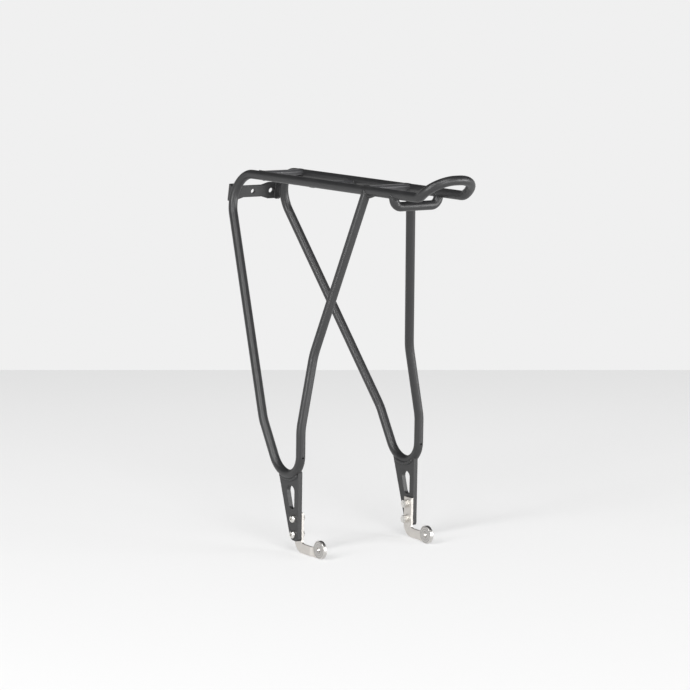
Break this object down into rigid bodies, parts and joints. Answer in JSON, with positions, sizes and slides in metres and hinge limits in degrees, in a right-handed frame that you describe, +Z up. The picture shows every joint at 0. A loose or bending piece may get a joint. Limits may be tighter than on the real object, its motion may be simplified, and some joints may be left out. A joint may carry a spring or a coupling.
{
  "type": "bicycle rear rack",
  "caption": "Slim tubular rear rack for a bicycle: narrow deck with cross bars, raised tail loop, flared side frames, plate feet with stainless eyelet brackets, and a front bolt bracket.",
  "frame": {"origin": "midway between the two frame eyelets, on their common axis", "axes": "+X to the rider's right along the eyelets' axis, +Y forward on the bicycle, +Z up"},
  "size_m": [0.166, 0.3878, 0.4148],
  "materials": {
    "black_tube": "satin black powder coat",
    "black_bar": "satin black powder coat",
    "black_plate": "satin black powder coat",
    "stainless_sheet": "plain stainless sheet, lightly blasted",
    "stainless_turned": "turned stainless with fine concentric marks",
    "stainless_fastener": "bright stainless"
  },
  "bodies": {
    "root": {"main_hoop": "black_tube", "left_rear_stay": "black_tube", "right_rear_stay": "black_tube", "tail_rod": "black_tube", "front_deck_bar": "black_bar", "middle_deck_bar": "black_bar", "rear_deck_bar": "black_bar", "front_bracket": "black_plate", "left_foot_plate": "black_plate", "right_foot_plate": "black_plate", "left_axle_bracket": "stainless_sheet", "right_axle_bracket": "stainless_sheet", "left_eyelet_boss": "stainless_turned", "right_eyelet_boss": "stainless_turned", "left_upper_screw": "stainless_fastener", "left_lower_screw": "stainless_fastener", "right_upper_screw": "stainless_fastener", "right_lower_screw": "stainless_fastener", "left_upper_nut": "stainless_fastener", "left_lower_nut": "stainless_fastener", "right_upper_nut": "stainless_fastener", "right_lower_nut": "stainless_fastener"}
  },
  "joints": []
}
